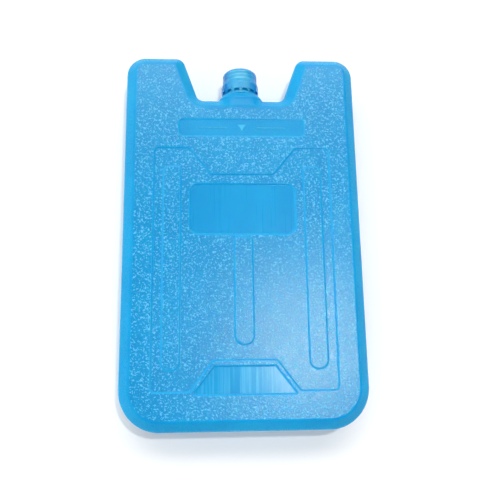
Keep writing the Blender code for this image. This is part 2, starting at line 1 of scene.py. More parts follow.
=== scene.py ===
"""Looks of the refillable ice pack: its moulded skin, its cap and the studio around it.

Sizes are in metres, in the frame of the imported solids: X runs across the pack, Y towards its
neck and Z out of its front face. The fine moulding stands for the solids and keeps their form.
"""

import math

import bpy
from mathutils import Matrix, Vector
from mathutils.geometry import delaunay_2d_cdt

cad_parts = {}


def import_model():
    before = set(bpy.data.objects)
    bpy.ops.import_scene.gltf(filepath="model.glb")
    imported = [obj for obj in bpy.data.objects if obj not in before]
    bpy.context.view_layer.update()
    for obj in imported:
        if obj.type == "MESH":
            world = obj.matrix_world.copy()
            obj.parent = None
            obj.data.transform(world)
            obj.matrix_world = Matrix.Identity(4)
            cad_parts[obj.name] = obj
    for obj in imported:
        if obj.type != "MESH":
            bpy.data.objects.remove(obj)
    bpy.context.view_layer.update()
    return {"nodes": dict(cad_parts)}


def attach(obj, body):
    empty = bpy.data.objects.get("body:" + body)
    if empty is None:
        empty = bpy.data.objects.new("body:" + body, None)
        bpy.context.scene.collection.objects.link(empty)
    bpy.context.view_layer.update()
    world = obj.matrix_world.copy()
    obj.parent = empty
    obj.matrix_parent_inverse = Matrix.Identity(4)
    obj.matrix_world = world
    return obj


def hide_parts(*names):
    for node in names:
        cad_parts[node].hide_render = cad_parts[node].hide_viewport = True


MM = 0.001

# Outline of the bottle, at the mould seam
BODY_WIDTH = 150.0 * MM
BODY_LENGTH = 238.2 * MM
BODY_THICKNESS = 30.0 * MM
WALL = 1.5 * MM
FOOT_CORNER_RADIUS = 25.0 * MM
EAR_OUTER_RADIUS = 12.5 * MM
EAR_INNER_RADIUS = 6.5 * MM
NOTCH_CORNER_RADIUS = 5.0 * MM
NOTCH_DEPTH = 29.9 * MM
NOTCH_MOUTH_WIDTH = 76.4 * MM
NOTCH_FLOOR_WIDTH = 55.4 * MM

# Rim, from the mould seam round to the flat faces
SEAM_PROUD = 0.25 * MM
SEAM_HALF_WIDTH = 0.5 * MM
SEAM_SHARES = (1.0, 0.6, 0.3, 0.0, -0.3, -0.6, -1.0)
RIM_RUN = 6.3 * MM
RIM_DEPTH = 5.6 * MM
RIM_SHOULDER_RADIUS = 4.0 * MM
RIM_EDGE_RADIUS = 3.0 * MM

# Framed field that is sunk into both faces
FIELD_HALF_WIDTH = 55.4 * MM
FIELD_TOP = 54.2 * MM
FIELD_TOP_STEP_X = 34.0 * MM
FIELD_TOP_WAIST = 36.6 * MM
FIELD_TOP_WAIST_X = 19.6 * MM
FIELD_FOOT = -95.7 * MM
FIELD_FOOT_STEP_X = 32.5 * MM
FIELD_FOOT_WAIST = -77.8 * MM
FIELD_FOOT_WAIST_X = 19.0 * MM
FIELD_CORNER_RADIUS = 3.0 * MM
FIELD_DEPTH = 0.8 * MM

# Stiffening ribs that stand in the field
SIDE_RIB_X = 44.1 * MM
SIDE_RIB_WIDTH = 10.9 * MM
SIDE_RIB_TOP = 41.9 * MM
SIDE_RIB_FOOT = -83.4 * MM
SIDE_RIB_TOP_RADIUS = 3.5 * MM
SIDE_RIB_FOOT_RADIUS = 5.0 * MM
CENTRE_RIB_WIDTH = 11.3 * MM
CENTRE_RIB_TOP = -3.5 * MM
CENTRE_RIB_FOOT = -68.9 * MM
CENTRE_RIB_TOP_RADIUS = 2.5 * MM
CENTRE_RIB_FOOT_RADIUS = 5.3 * MM
RIB_RISE = 0.55 * MM

# Label panel, filling band and trapezoid, sunk into the front face alone
PANEL_HALF_WIDTH = 32.9 * MM
PANEL_TOP = 30.4 * MM
PANEL_FOOT = -1.8 * MM
PANEL_CORNER_RADIUS = 5.5 * MM
PANEL_DEPTH = 0.9 * MM
BAND_HALF_WIDTH = 40.2 * MM
BAND_TOP = 73.6 * MM
BAND_FOOT = 62.2 * MM
BAND_CORNER_RADIUS = 2.5 * MM
BAND_DEPTH = 0.55 * MM
TRAPEZOID_TOP = -81.2 * MM
TRAPEZOID_FOOT = -97.5 * MM
TRAPEZOID_TOP_X = 18.2 * MM
TRAPEZOID_FOOT_X = 31.0 * MM
TRAPEZOID_CORNER_RADIUS = 0.8 * MM
TRAPEZOID_DEPTH = 0.8 * MM
STEP_RUN = 1.3 * MM
PANEL_STEP_RUN = 1.6 * MM
STEP_RINGS = 10
CAVITY_STEP_RINGS = 2

# Squarish shoulder that carries the neck above the notch's floor and grows softly out of the rim
SHOULDER_WIDTH = 30.6 * MM
SHOULDER_SET_BACK = 0.4 * MM
SHOULDER_RISE = 4.35 * MM
SHOULDER_FLANK = 3.3 * MM
SHOULDER_ROOT = 9.0 * MM
SHOULDER_BEND_RADIUS = 2.5 * MM
LEDGE_WIDTH = 25.8 * MM
LEDGE_EDGE_RADIUS = 2.0 * MM
SHOULDER_SQUARENESS = 2.6
SHOULDER_BLEND = 5.0 * MM
BLEND_STEPS = 24

# Neck and its thread
NECK_RADIUS = 9.0 * MM
NECK_WALL = 1.7 * MM
NECK_FOOT_RADIUS = 9.8 * MM
NECK_CHAMFER = 0.4 * MM
BEAD_PROUD = 1.1 * MM
BEAD_LAND = 3.0 * MM
BEAD_RAMP = 1.4 * MM
THREAD_LEAD = 2.5 * MM
THREAD_DEPTH = 1.1 * MM
THREAD_ROOT_WIDTH = 1.1 * MM
THREAD_CREST_WIDTH = 0.5 * MM
THREAD_BROW = 0.85
THREAD_FADE_TURNS = 0.25
NECK_THREAD_TURNS = 2.5
NECK_THREAD_BELOW_RIM = 1.4 * MM
CAP_THREAD_TURNS = 2.0

# Cap and tamper ring
CAP_HEIGHT = 16.2 * MM
CAP_WALL = 1.05 * MM
CAP_TOP_THICKNESS = 1.3 * MM
CAP_EDGE_RADIUS = 3.0 * MM
SKIRT_HEIGHT = 5.7 * MM
SKIRT_FLARE_HEIGHT = 2.9 * MM
SKIRT_STEP_HEIGHT = 0.6 * MM
SKIRT_WALL = 1.2 * MM
SKIRT_BEND_RADIUS = 1.5 * MM
WAD_THICKNESS = 1.2 * MM
SLIT_HEIGHT = 1.2 * MM
BRIDGE_COUNT = 14
WINDOW_RISE = 0.8 * MM
BRIDGE_TOP_WIDTH = 3.2 * MM
BRIDGE_FOOT_WIDTH = 0.8 * MM
BRIDGE_THICKNESS = 0.7 * MM
RING_HEIGHT = 1.3 * MM
RING_WALL = 1.15 * MM
RING_LIP_HEIGHT = 0.6 * MM
SMALL_EDGE_RADIUS = 0.2 * MM

# Clearances
SEAT_GAP = 0.3 * MM
THREAD_GAP = 0.35 * MM
BEAD_GAP = 0.3 * MM
RING_PLAY = 0.4 * MM

# Level mark on the filling band: two dashes with a small triangle between them
DASH_NEAR_X = 9.8 * MM
DASH_FAR_X = 27.8 * MM
DASH_WIDTH = 0.7 * MM
MARK_RISE = 0.3 * MM
MARK_PROFILE = ((-0.15 * MM, -0.3), (0.0, 0.35), (0.08 * MM, 0.8), (0.2 * MM, 1.0))
TRIANGLE_WIDTH = 5.2 * MM
TRIANGLE_HEIGHT = 4.2 * MM

# Fineness
ROUND_SEGMENTS = 96
FOOT_ARC_STEPS = 24
ARC_STEPS = 14
SMALL_ARC_STEPS = 9
EDGE_STEPS = 6
OVERLAP = 0.3 * MM
SMALLEST_RADIUS = 0.2 * MM
SHARP_ANGLE = math.radians(34)
FLAT_FACE_WEIGHT = 100
INSIDE_ONLY = 1
MERGE_DISTANCE = 1e-9

# Places that follow from the sizes
MID_Z = BODY_THICKNESS / 2
HALF_WIDTH = BODY_WIDTH / 2
HALF_LENGTH = BODY_LENGTH / 2
NOTCH_FLOOR = HALF_LENGTH - NOTCH_DEPTH
LEDGE = NOTCH_FLOOR + SHOULDER_RISE
RING_FOOT = LEDGE + SEAT_GAP
RING_TOP = RING_FOOT + RING_HEIGHT
CAP_FOOT = RING_TOP + SLIT_HEIGHT
CAP_TOP = CAP_FOOT + CAP_HEIGHT
CAP_UNDERSIDE = CAP_TOP - CAP_TOP_THICKNESS
NECK_RIM = CAP_UNDERSIDE - WAD_THICKNESS - 2 * SEAT_GAP
BEAD_FOOT = RING_TOP + SEAT_GAP
BEAD_RADIUS = NECK_FOOT_RADIUS + BEAD_PROUD
NECK_BORE_RADIUS = NECK_RADIUS - NECK_WALL
THREAD_RADIUS = NECK_RADIUS + THREAD_DEPTH
CAP_BORE_RADIUS = THREAD_RADIUS + THREAD_GAP
CAP_THREAD_RADIUS = NECK_RADIUS + THREAD_GAP
CAP_RADIUS = CAP_BORE_RADIUS + CAP_WALL
SKIRT_BORE_RADIUS = BEAD_RADIUS + BEAD_GAP
SKIRT_RADIUS = SKIRT_BORE_RADIUS + SKIRT_WALL
RING_LIP_RADIUS = NECK_FOOT_RADIUS + RING_PLAY
NECK_THREAD_TOP = NECK_RIM - NECK_THREAD_BELOW_RIM
NECK_THREAD_FOOT = NECK_THREAD_TOP - NECK_THREAD_TURNS * THREAD_LEAD
CAP_THREAD_FOOT = NECK_THREAD_FOOT + THREAD_LEAD / 2

# Finishes of the bottle, in the order of its material slots
SATIN = 0
PEBBLED = 1
PLAIN = 2
BRUSHED = 3
RELIEF_WALLS = 4
POLISHED = 5

# Colours
SKIN_DEEP = (0.004, 0.36, 0.71, 1.0)
SKIN_BLUE = (0.006, 0.40, 0.76, 1.0)
MARK_BLUE = (0.050, 0.53, 0.88, 1.0)
# Pale blue of painted glints on the pebbles' crests and of painted sheen along the trapezoid's grooves
PAINTED_HIGHLIGHT_BLUE = (0.110, 0.63, 0.94, 1.0)
# Darker blue of painted shade in the creases between the pebbles
CREASE_PAINTED_SHADE_BLUE = (0.002, 0.27, 0.60, 1.0)
# Paler blue of the relief's walls: painted light that lifts the shade on them
WALL_PAINTED_LIGHT_BLUE = (0.008, 0.43, 0.80, 1.0)
CAP_BLUE = (0.003, 0.31, 0.73, 1.0)
# Paler blue of the painted highlight on the cap's front and back
CAP_HIGHLIGHT_PALE = (0.110, 0.61, 0.93, 1.0)
FOAM_WHITE = (0.84, 0.86, 0.86, 1.0)
FOAM_SHADE = (0.70, 0.74, 0.75, 1.0)

# Plastic: its gloss, its roughness and how far light wanders in it
LIGHT_SPREAD = (0.4, 1.0, 1.6)
SKIN_DEPTH = 1.0 * MM
PEBBLED_DEPTH = 0.35 * MM
CAP_DEPTH = 1.5 * MM
SATIN_GLOSS = 0.18
POLISHED_GLOSS = 0.34
PEBBLED_GLOSS = 0.50
WALL_GLOSS = 0.36
PANEL_GLOSS = 0.30
GROOVE_GLOSS = 0.34
CAP_GLOSS = 0.40
SATIN_ROUGHNESS = (0.24, 0.32)
WALL_ROUGHNESS = (0.22, 0.30)
PEBBLE_ROUGHNESS = (0.27, 0.20)
PANEL_ROUGHNESS = (0.27, 0.30)
GROOVE_ROUGHNESS = (0.17, 0.23)
CAP_ROUGHNESS = 0.2
CAP_CLEARNESS = 0.08

# Grain of the skin; a scale counts the cells in a metre, a range is where a pattern fades in
NOISE_DETAIL = 2.0
NOISE_MIDDLE = 0.5
CLOUD_SCALE = 28.0
CLOUD_DETAIL = 3.0
CLOUD_RANGE = (0.35, 0.65)
FINE_SCALE = 1800.0
FINE_RANGE = (0.2, 0.8)
FINE_BUMP = 0.01 * MM
WANDER_SCALE = 520.0
WANDER_REACH = 1.4 * MM
PEBBLE_SCALE = 600.0
PEBBLE_SLOPE = 0.38
PEBBLE_SHARE = 0.6
PEBBLE_BUMP = 0.065 * MM
CREST_SCALE = 640.0
CREST_DETAIL = 1.0
CREST_LINE = (0.02, 0.09)
CREST_BREAK_SCALE = 760.0
CREST_BREAKS = (0.47, 0.60)
CREST_SHARE = 0.7
CREASE_SHADE_WIDTH = 0.22
CREASE_SHADE_STRENGTH = 0.62
UPRIGHT = (1.0, 0.02, 1.0)
STREAK_SCALE = 900.0
STREAK_DETAIL = 3.0
STREAK_RANGE = (0.3, 0.7)
STREAK_BUMP = 0.003 * MM
GROOVE_SCALE = 750.0
GROOVE_SHEEN_RANGE = (0.45, 0.70)
GROOVE_PAINTED_SHEEN = 0.5
GROOVE_BUMP = 0.014 * MM

# Bands that the inner thread shows on the cap, and where a painted highlight makes the cap pale
CAP_BAND_RANGE = (-0.4, 0.9)
CAP_BAND_BUMP = 0.06 * MM
CAP_BAND_START = CAP_FOOT + SKIRT_HEIGHT
CAP_BAND_FADE_START = CAP_TOP - CAP_EDGE_RADIUS
CAP_BAND_END = CAP_TOP - CAP_EDGE_RADIUS / 3
CAP_HIGHLIGHT_RANGE = (3.0 * MM, 11.5 * MM)
CAP_TOP_HIGHLIGHT = 0.3
CAP_GAP_HIGHLIGHT = 0.55

# Foam of the wad
FOAM_SCALE = 2600.0
FOAM_CELL = 0.7
FOAM_ROUGHNESS = 0.85
FOAM_BUMP = 0.05 * MM

# Camera, fitted to the photograph
CAMERA_PLACE = Vector((-21.753, -75.617, 366.336)) * MM
CAMERA_AIM = Vector((-3.05, -4.83, 30.0)) * MM
CAMERA_ROLL = math.radians(-0.757)
CAMERA_SENSOR = 36.0
CAMERA_LENS = 42.26
CAMERA_NEAR = 0.01

# Floor; it glows for the camera alone, from the pack outwards
FLOOR_REACH = 3.0
FLOOR_COLOUR = (0.94, 0.94, 0.94, 1.0)
FLOOR_ROUGHNESS = 0.9
FLOOR_GLOW_RANGE = (0.20, 0.60)
FLOOR_GLOW = (0.10, 1.0)

# Room; a range is a part of the direction in which the room is seen
ROOM_STRENGTH = 0.15
WINDOW_STRENGTH = 4.5
WINDOW_AHEAD = (0.40, 0.56)
WINDOW_ABOVE = (0.45, 0.75)
WINDOW_ASIDE = (0.50, 0.85)
HORIZON_STRENGTH = 0.20
HORIZON_ABOVE = (0.15, 0.80)
LEFT_WALL_STRENGTH = 0.80
LEFT_WALL_ACROSS = (-0.90, -0.40)

# Lamps: name, place, aim, width, height, power in watts, colour, seen in reflections alone
WHITE = (1.0, 1.0, 1.0)
WARM_WHITE = (1.0, 0.97, 0.65)
PACK_CENTRE = (0.0, 0.0, 0.0)
LAMPS = (
    ("glint", (0.252, -0.05, 1.20), (0.252, -0.05, 0.0), 0.165, 0.24, 4.4, WARM_WHITE, True),
    ("key", (0.20, 0.20, 1.20), PACK_CENTRE, 0.06, 0.06, 4.8, WHITE, False),
    ("front", (0.0, -1.20, 0.55), PACK_CENTRE, 1.20, 0.60, 4.6, WHITE, False),
    ("side", (-1.20, 0.0, 0.22), PACK_CENTRE, 0.60, 1.20, 1.6, WHITE, False),
)


# Flat paths


def left_of(direction):
    return Vector((-direction.y, direction.x))


def shifted_corner(before, corner, after, shift):
    """The corner of a path whose two sides have both moved to the left by shift."""
    side_in = left_of((corner - before).normalized())
    side_out = left_of((after - corner).normalized())
    return corner + (side_in + side_out) * (shift / (1.0 + side_in.dot(side_out)))


def corner_arc(before, corner, after, radius, steps):
    """Points of the fillet that rounds one corner of a path; no steps leave the corner alone."""
    if steps == 0:
        return [corner]
    into = (corner - before).normalized()
    out = (after - corner).normalized()
    turn = math.atan2(into.x * out.y - into.y * out.x, into.dot(out))
    start = corner - into * (radius * math.tan(abs(turn) / 2))
    centre = start + left_of(into) * math.copysign(radius, turn)
    spoke = start - centre
    arc = []
    for number in range(steps + 1):
        arc.append(centre + Matrix.Rotation(turn * number / steps, 2) @ spoke)
    return arc


def turns_left(before, corner, after):
    into = corner - before
    out = after - corner
    return into.x * out.y - into.y * out.x > 0


def outline(corners, shift=0.0):
    """A closed anticlockwise outline with rounded corners, moved inwards by shift."""
    places = [Vector((x, y)) for x, y, _, _ in corners]
    count = len(corners)
    moved = []
    for number, place in enumerate(places):
        moved.append(shifted_corner(places[number - 1], place, places[(number + 1) % count], shift))
    points = []
    for number, (_, _, radius, steps) in enumerate(corners):
        before = moved[number - 1]
        after = moved[(number + 1) % count]
        if turns_left(before, moved[number], after):
            radius = max(radius - shift, SMALLEST_RADIUS)
        else:
            radius = max(radius + shift, SMALLEST_RADIUS)
        points += corner_arc(before, moved[number], after, radius, steps)
    return points


def mirrored(corners):
    """The whole outline from its right half, which runs from foot to top."""
    left_half = [(-x, y, radius, steps) for x, y, radius, steps in reversed(corners)]
    return corners + left_half


def box_corners(half_width, foot, top, foot_radius, top_radius, centre_x=0.0):
    right = centre_x + half_width
    left = centre_x - half_width
    return [
        (right, foot, foot_radius, ARC_STEPS),
        (right, top, top_radius, ARC_STEPS),
        (left, top, top_radius, ARC_STEPS),
        (left, foot, foot_radius, ARC_STEPS),
    ]


def rounded_profile(corners, steps):
    """Points of an open profile whose corners are (distance from the axis, height, fillet)."""
    places = [Vector((radius, height)) for radius, height, _ in corners]
    points = []
    for number, (_, _, fillet) in enumerate(corners):
        if fillet == 0.0:
            points.append(places[number])
        else:
            points += corner_arc(places[number - 1], places[number], places[number + 1], fillet, steps)
    return [(point.x, point.y) for point in points]


def soft_step(share):
    """A height from 0 to 1 that leaves and arrives level."""
    return share * share * (3.0 - 2.0 * share)


# Objects


def add_object(name, points, faces, materials=(), finishes=None):
    """A mesh object in the row's frame; finishes gives each face its material slot."""
    mesh = bpy.data.meshes.new(name)
    mesh.from_pydata([tuple(point) for point in points], [], faces)
    mesh.update()
    for material in materials:
        mesh.materials.append(material)
    if finishes is not None:
        mesh.polygons.foreach_set("material_index", finishes)
    thing = bpy.data.objects.new(name, mesh)
    bpy.context.scene.collection.objects.link(thing)
    return thing


def combine(target, shape, operation):
    """Adds shape to the target, or cuts it out of the target."""
    shape.hide_render = True
    step = target.modifiers.new(shape.name, "BOOLEAN")
    step.operation = operation
    step.solver = "EXACT"
    step.object = shape


def settle(target):
    """Keeps the shape that the modifiers give and deletes the shapes that made it."""
    bpy.context.view_layer.update()
    shapes = [step.object for step in target.modifiers]
    evaluated = target.evaluated_get(bpy.context.evaluated_depsgraph_get())
    mesh = bpy.data.meshes.new_from_object(evaluated)
    target.modifiers.clear()
    target.data = mesh
    for shape in shapes:
        bpy.data.objects.remove(shape, do_unlink=True)


def shade(thing):
    """Round faces smooth, flat faces flat and real edges crisp."""
    thing.data.shade_smooth()
    thing.data.set_sharp_from_angle(angle=SHARP_ANGLE)
    weighting = thing.modifiers.new("flat_faces_stay_flat", "WEIGHTED_NORMAL")
    weighting.keep_sharp = True
    weighting.weight = FLAT_FACE_WEIGHT


def place_piece(thing, body, slot, *nodes):
    """Shades a piece, hangs it on the body that carries it and hides the solids it stands for; slot is
    not used.
    """
    shade(thing)
    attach(thing, body)
    if nodes:
        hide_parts(*nodes)


# Relief of the two faces


class Step:
    """One raised or sunk area: its outline, the level around it, its rise and its finish."""

    def __init__(self, corners, base, rise, run=STEP_RUN, finish=PEBBLED):
        self.corners = corners
        self.base = base
        self.rise = rise
        self.run = run
        self.finish = finish

    def wall_shift(self, depth):
        """How far the outline moves inwards on a surface that lies depth below the face."""
        slope = math.atan2(abs(self.rise), self.run)
        return math.copysign(depth * math.tan(slope / 2), self.rise)

    def rings(self, depth, count):
        """Pairs of (ring, height) from the level around to the level within."""
        middle = self.wall_shift(depth)
        for number in range(count + 1):
            share = number / count
            height = self.base + self.rise * soft_step(share)
            yield outline(self.corners, middle + (share - 0.5) * self.run), height


def field_corners():
    """The sunk field, which is waisted at its top and foot."""
    radius = FIELD_CORNER_RADIUS
    return mirrored([
        (FIELD_FOOT_WAIST_X, FIELD_FOOT_WAIST, radius, SMALL_ARC_STEPS),
        (FIELD_FOOT_STEP_X, FIELD_FOOT, radius, SMALL_ARC_STEPS),
        (FIELD_HALF_WIDTH, FIELD_FOOT, radius, SMALL_ARC_STEPS),
        (FIELD_HALF_WIDTH, FIELD_TOP, radius, SMALL_ARC_STEPS),
        (FIELD_TOP_STEP_X, FIELD_TOP, radius, SMALL_ARC_STEPS),
        (FIELD_TOP_WAIST_X, FIELD_TOP_WAIST, radius, SMALL_ARC_STEPS),
    ])


def rib_steps():
    """The two side ribs and the short centre rib."""
    steps = []
    for side in (-1, 1):
        corners = box_corners(SIDE_RIB_WIDTH / 2, SIDE_RIB_FOOT, SIDE_RIB_TOP,
                              SIDE_RIB_FOOT_RADIUS, SIDE_RIB_TOP_RADIUS, side * SIDE_RIB_X)
        steps.append(Step(corners, -FIELD_DEPTH, RIB_RISE))
    corners = box_corners(CENTRE_RIB_WIDTH / 2, CENTRE_RIB_FOOT, CENTRE_RIB_TOP,
                          CENTRE_RIB_FOOT_RADIUS, CENTRE_RIB_TOP_RADIUS)
    steps.append(Step(corners, -FIELD_DEPTH, RIB_RISE))
    return steps


def front_relief():
    panel = box_corners(PANEL_HALF_WIDTH, PANEL_FOOT, PANEL_TOP,
                        PANEL_CORNER_RADIUS, PANEL_CORNER_RADIUS)
    band = box_corners(BAND_HALF_WIDTH, BAND_FOOT, BAND_TOP,
                       BAND_CORNER_RADIUS, BAND_CORNER_RADIUS)
    trapezoid = mirrored([
        (TRAPEZOID_FOOT_X, TRAPEZOID_FOOT, TRAPEZOID_CORNER_RADIUS, EDGE_STEPS),
        (TRAPEZOID_TOP_X, TRAPEZOID_TOP, TRAPEZOID_CORNER_RADIUS, EDGE_STEPS),
    ])
    return [
        Step(field_corners(), 0.0, -FIELD_DEPTH),
        Step(panel, -FIELD_DEPTH, -PANEL_DEPTH, PANEL_STEP_RUN, PLAIN),
        Step(band, 0.0, -BAND_DEPTH, STEP_RUN, POLISHED),
        Step(trapezoid, 0.0, -TRAPEZOID_DEPTH, STEP_RUN, BRUSHED),
    ] + rib_steps()


def back_relief():
    return [Step(field_corners(), 0.0, -FIELD_DEPTH)] + rib_steps()


# Bottle


def body_corners():
    """The outline's right half from foot to top, with extra points where the shoulder grows out."""
    corners = [
        (HALF_WIDTH, -HALF_LENGTH, FOOT_CORNER_RADIUS, FOOT_ARC_STEPS),
        (HALF_WIDTH, HALF_LENGTH, EAR_OUTER_RADIUS, ARC_STEPS),
        (NOTCH_MOUTH_WIDTH / 2, HALF_LENGTH, EAR_INNER_RADIUS, ARC_STEPS),
        (NOTCH_FLOOR_WIDTH / 2, NOTCH_FLOOR, NOTCH_CORNER_RADIUS, ARC_STEPS),
    ]
    for number in range(BLEND_STEPS):
        angle = math.pi / 2 * (number + 0.5) / BLEND_STEPS
        corners.append((SHOULDER_WIDTH / 2 * math.cos(angle), NOTCH_FLOOR, 0.0, 0))
    return mirrored(corners)


def swollen(point, over_mid):
    """Height of a point of the rim over the seam, once the shoulder has grown softly out of it."""
    across = abs(point.x) / (SHOULDER_WIDTH / 2)
    if across > 1.0 or point.y < 0.0 or over_mid == 0.0:
        return over_mid
    top = BODY_THICKNESS / 2 - SHOULDER_SET_BACK
    shoulder = top * (1.0 - across ** SHOULDER_SQUARENESS) ** (1.0 / SHOULDER_SQUARENESS)
    closeness = max(0.0, 1.0 - abs(over_mid - shoulder) / SHOULDER_BLEND)
    return min(MID_Z, max(over_mid, shoulder) + SHOULDER_BLEND / 4 * closeness ** 2)


def rim_profile(depth):
    """Points (inset, height over the seam) of the rim on a surface depth below the skin."""
    side = Vector((SEAM_PROUD, 0.0))
    shoulder = Vector((SEAM_PROUD, MID_Z - RIM_DEPTH))
    edge = Vector((SEAM_PROUD + RIM_RUN, MID_Z))
    face = Vector((SEAM_PROUD + 2 * RIM_RUN, MID_Z))
    low = side + Vector((depth, 0.0))
    high = face - Vector((0.0, depth))
    bend = shifted_corner(side, shoulder, edge, -depth)
    brow = shifted_corner(shoulder, edge, face, -depth)
    shoulder_radius = max(RIM_SHOULDER_RADIUS - depth, SMALLEST_RADIUS)
    edge_radius = max(RIM_EDGE_RADIUS - depth, SMALLEST_RADIUS)
    rise = corner_arc(low, bend, brow, shoulder_radius, EDGE_STEPS)
    return rise + corner_arc(bend, brow, high, edge_radius, EDGE_STEPS)


def face_finish(marks, relief, count):
    """Finish of a triangle from the (step, ring) marks of its corners; None is the rim."""
    marks = [mark for mark in marks if mark is not None]
    if any(0 < ring < count for _, ring in marks):
        return RELIEF_WALLS
    inner = [step for step, ring in marks if ring == count]
    return relief[inner[0]].finish if inner else PEBBLED


def add_face(points, faces, finishes, first, ring, level, relief, depth, up, count):
    """Closes one end of the body with a face that carries its relief."""
    flat = [Vector((point.x, point.y)) for point in ring]
    edges = [(number, (number + 1) % len(flat)) for number in range(len(flat))]
    heights = [0.0] * len(flat)
    marks = [None] * len(flat)
    for place, step in enumerate(relief):
        for row, (loop, height) in enumerate(step.rings(depth, count)):
            start = len(flat)
            edges += [(start + number, start + (number + 1) % len(loop)) for number in range(len(loop))]
            flat += loop
            heights += [height] * len(loop)
            marks += [(place, row)] * len(loop)
    triangulated = delaunay_2d_cdt(flat, edges, [], INSIDE_ONLY, MERGE_DISTANCE)
    spots, _, triangles, sources, _, _ = triangulated
    index = []
    for spot, source in zip(spots, sources):
        if source[0] < len(ring):
            index.append(first + source[0])
        else:
            index.append(len(points))
            points.append(Vector((spot.x, spot.y, level + up * heights[source[0]])))
    for triangle in triangles:
        corners = [index[number] for number in triangle]
        faces.append(corners if up > 0 else corners[::-1])
        finishes.append(face_finish([marks[sources[number][0]] for number in triangle], relief, count))


def moulded_body(name, depth, count, with_seam, materials=()):
    """The body's closed surface, depth below its skin: the skin itself, or its cavity."""
    profile = rim_profile(depth)
    levels = [(inset, MID_Z + height) for inset, height in reversed(profile)]
    if with_seam:
        for share in SEAM_SHARES:
            proud = 1.0 - soft_step(abs(share))
            levels.append((SEAM_PROUD * (1.0 - proud), MID_Z + share * SEAM_HALF_WIDTH))
    levels += [(inset, MID_Z - height) for inset, height in profile]
    corners = body_corners()
    points = []
    faces = []
    rings = []
    for inset, level in levels:
        side = 1.0 if level > MID_Z else -1.0
        ring = []
        for point in outline(corners, inset):
            over_mid = abs(level - MID_Z)
            if with_seam:
                over_mid = swollen(point, over_mid)
            ring.append(Vector((point.x, point.y, MID_Z + side * over_mid)))
        rings.append(ring)
        points += ring
    columns = len(rings[0])
    for row in range(len(rings) - 1):
        for column in range(columns):
            after = (column + 1) % columns
            upper = row * columns
            lower = upper + columns
            faces.append([upper + column, lower + column, lower + after, upper + after])
    finishes = [SATIN] * len(faces)
    last = columns * (len(rings) - 1)
    top = BODY_THICKNESS - depth
    add_face(points, faces, finishes, 0, rings[0], top, front_relief(), depth, 1, count)
    add_face(points, faces, finishes, last, rings[-1], depth, back_relief(), depth, -1, count)
    return add_object(name, points, faces, materials, finishes)


# Turned, lofted and threaded shapes about the neck's axis


def on_axis(across, out, height):
    """A point of the row's frame from its place about the neck's axis."""
    return Vector((across, height, MID_Z - out))


def circle(radius, height):
    ring = []
    for number in range(ROUND_SEGMENTS):
        angle = 2 * math.pi * number / ROUND_SEGMENTS
        ring.append(on_axis(radius * math.cos(angle), radius * math.sin(angle), height))
    return ring


def squarish(half_width, half_height, height):
    """A ring between a rectangle and an ellipse."""
    power = 2.0 / SHOULDER_SQUARENESS
    ring = []
    for number in range(ROUND_SEGMENTS):
        angle = 2 * math.pi * (number + 0.5) / ROUND_SEGMENTS
        across = math.copysign(abs(math.cos(angle)) ** power, math.cos(angle))
        out = math.copysign(abs(math.sin(angle)) ** power, math.sin(angle))
        ring.append(on_axis(half_width * across, half_height * out, height))
    return ring


def loft(name, rings, materials=(), closed_loop=False, skip=None):
    """Joins rings of equal length; skip is a row that is closed by two flat ends instead."""
    count = len(rings[0])
    points = [point for ring in rings for point in ring]
    faces = []
    last = len(rings) if closed_loop else len(rings) - 1
    for row in range(last):
        if row == skip:
            continue
        lower = row * count
        upper = ((row + 1) % len(rings)) * count
        for column in range(count):
            after = (column + 1) % count
            faces.append([lower + column, lower + after, upper + after, upper + column])
    if skip is not None:
        faces.append([skip * count + number for number in range(count)])
        faces.append([(skip + 1) * count + number for number in range(count)][::-1])
    elif not closed_loop:
        faces.append(list(range(count))[::-1])
        faces.append([(len(rings) - 1) * count + number for number in range(count)])
    return add_object(name, points, faces, materials)


def turned(name, profile, materials=(), closed_loop=False, skip=None):
    """A turned solid; its profile of (radius, height) runs up the outer side."""
    rings = [circle(radius, height) for radius, height in profile]
    return loft(name, rings, materials, closed_loop, skip)


def thread(name, root_radius, crest_radius, foot, turns):
    """A right-hand thread ridge with a rounded crest that fades out at both ends."""
    steps = round(turns * ROUND_SEGMENTS)
    fade = THREAD_FADE_TURNS * ROUND_SEGMENTS
    outward = math.copysign(1.0, crest_radius - root_radius)
    buried = root_radius - outward * OVERLAP
    root = THREAD_ROOT_WIDTH / 2
    brow = THREAD_CREST_WIDTH / 2
    section = [(0.0, -root), (THREAD_BROW, -brow), (1.0, -brow / 2),
               (1.0, brow / 2), (THREAD_BROW, brow), (0.0, root)]
    rings = []
    for number in range(steps + 1):
        angle = 2 * math.pi * number / ROUND_SEGMENTS
        middle = foot + THREAD_LEAD * number / ROUND_SEGMENTS
        share = soft_step(min(1.0, (number + 1) / fade, (steps - number + 1) / fade))
        crest = root_radius + (crest_radius - root_radius) * share
        ring = []
        for part, offset in section:
            radius = buried + (crest - buried) * part
            ring.append(on_axis(radius * math.cos(angle), radius * math.sin(angle), middle + offset))
        rings.append(ring[::-1] if outward > 0 else ring)
    return loft(name, rings)


def shoulder_form():
    """The shoulder's outer form, with a soft bend in its flanks and a rolled ledge edge."""
    root = NOTCH_FLOOR - SHOULDER_ROOT
    profile = rounded_profile([
        (0.0, root, 0.0),
        (0.0, LEDGE - SHOULDER_FLANK, SHOULDER_BEND_RADIUS),
        ((SHOULDER_WIDTH - LEDGE_WIDTH) / 2, LEDGE, LEDGE_EDGE_RADIUS),
        (LEDGE_WIDTH / 2, LEDGE, 0.0),
    ], EDGE_STEPS)
    flat_half = BODY_THICKNESS / 2 - SHOULDER_SET_BACK
    lean = (flat_half - LEDGE_WIDTH / 2) / ((SHOULDER_WIDTH - LEDGE_WIDTH) / 2)
    rings = []
    for inset, height in profile[:-1]:
        rings.append(squarish(SHOULDER_WIDTH / 2 - inset, flat_half - inset * lean, height))
    return loft("shoulder_form", rings)


